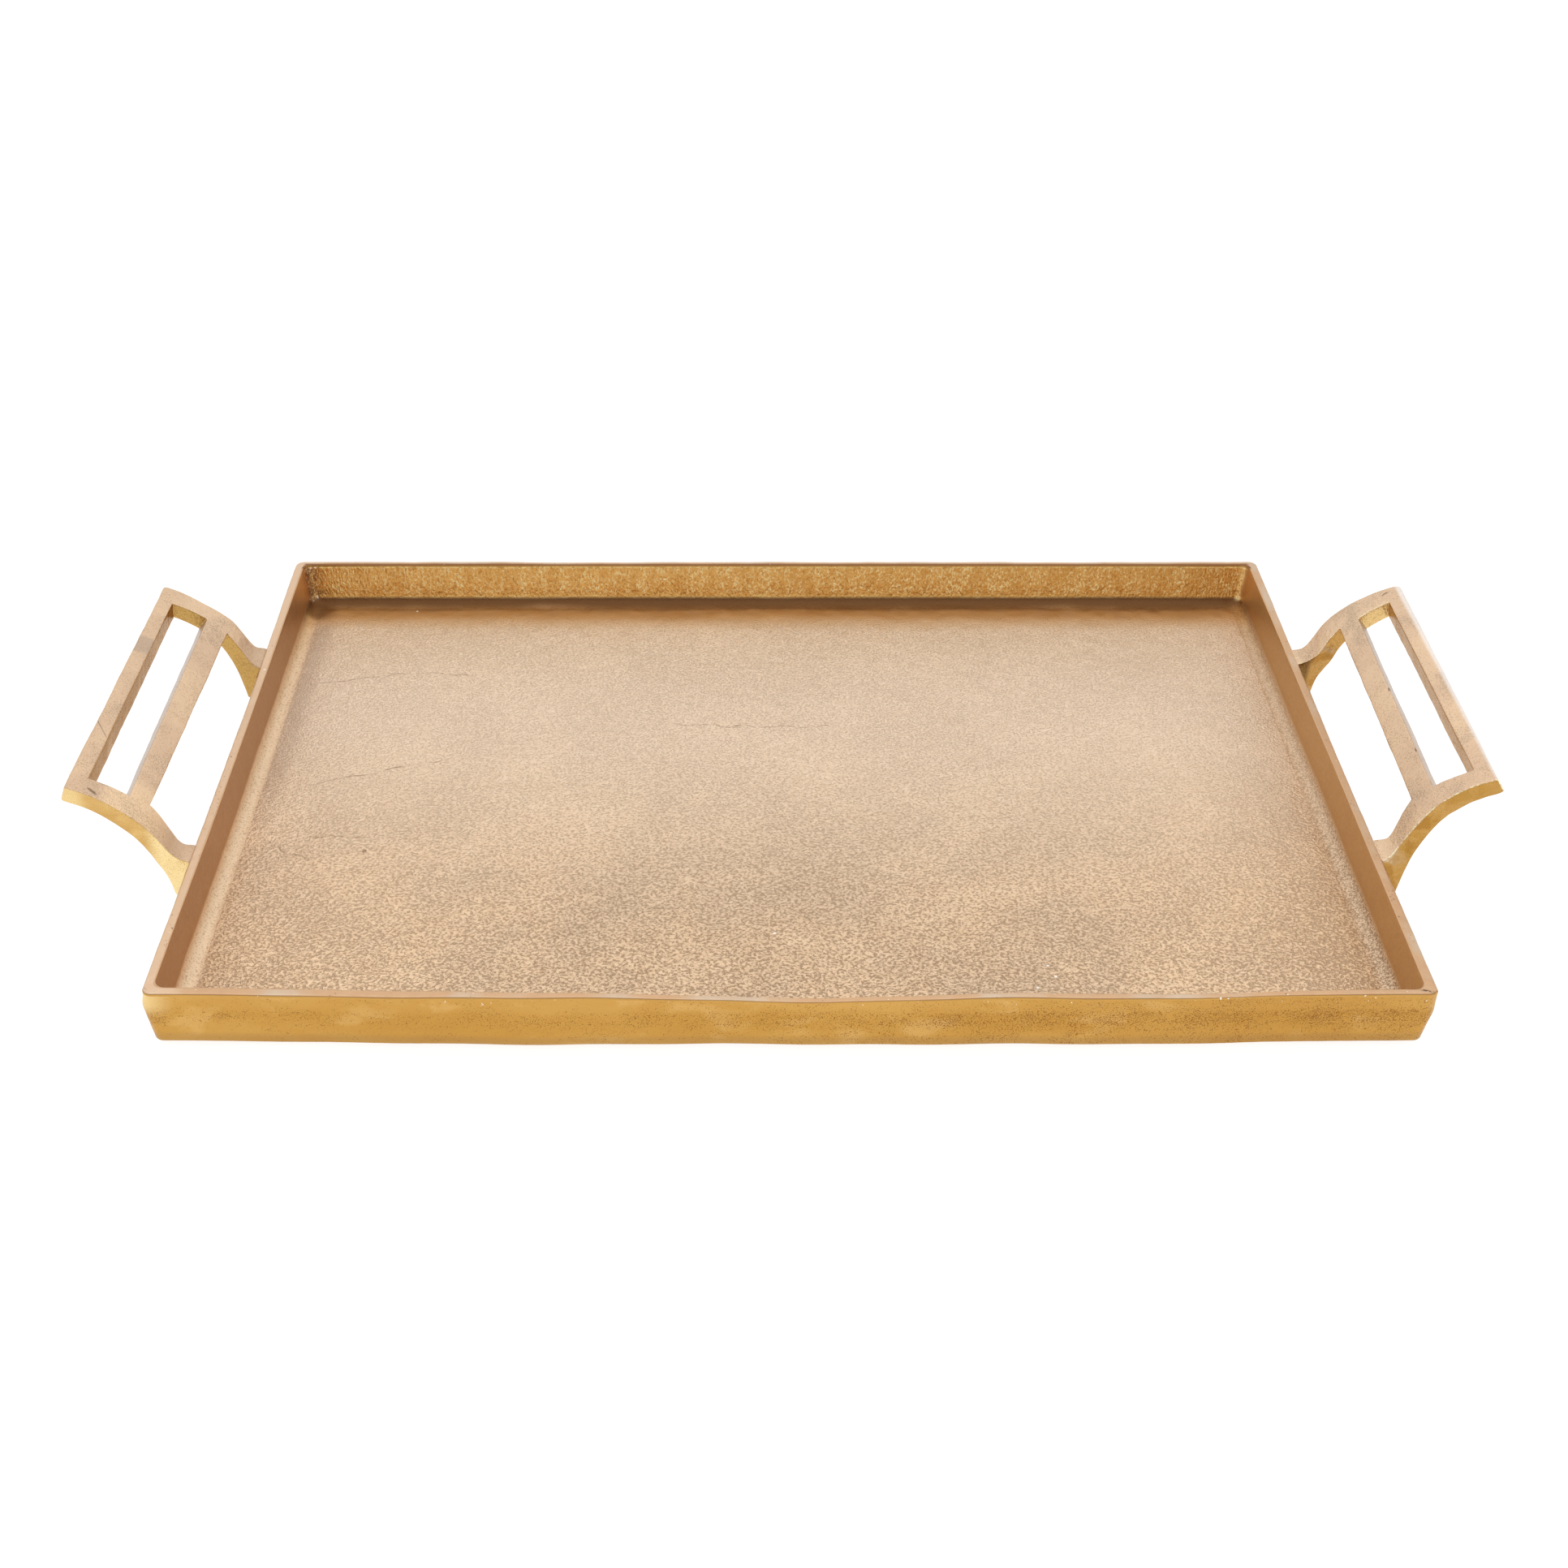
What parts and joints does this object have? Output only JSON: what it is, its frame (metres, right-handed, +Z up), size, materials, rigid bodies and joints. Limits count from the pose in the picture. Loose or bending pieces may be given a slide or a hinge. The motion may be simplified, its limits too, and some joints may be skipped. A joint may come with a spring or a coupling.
{
  "type": "serving tray",
  "caption": "Rectangular cast brass serving tray: shallow straight-sided pan with raised, curved and slotted strap handles brazed to its short ends.",
  "frame": {"origin": "on the surface that the pads stand on, straight below the middle of the pan", "axes": "+X along the tray towards the right handle, +Y across it towards the back, +Z up"},
  "size_m": [0.5086, 0.2968, 0.0582],
  "materials": {
    "cast_brass_pan": "satin, sand-cast with a leather-like pitted grain on the floor",
    "cast_brass_handle": "satin, ground smooth on top with small casting pits",
    "braze_filler": "rough braze metal, partly ground",
    "felt_pad": "dense felt"
  },
  "bodies": {
    "root": {"tray_pan": "cast_brass_pan", "handle_left": "cast_brass_handle", "handle_right": "cast_brass_handle", "braze_left_front": "braze_filler", "braze_left_back": "braze_filler", "braze_right_front": "braze_filler", "braze_right_back": "braze_filler", "foot_pad_front_left": "felt_pad", "foot_pad_front_right": "felt_pad", "foot_pad_back_left": "felt_pad", "foot_pad_back_right": "felt_pad"}
  },
  "joints": []
}
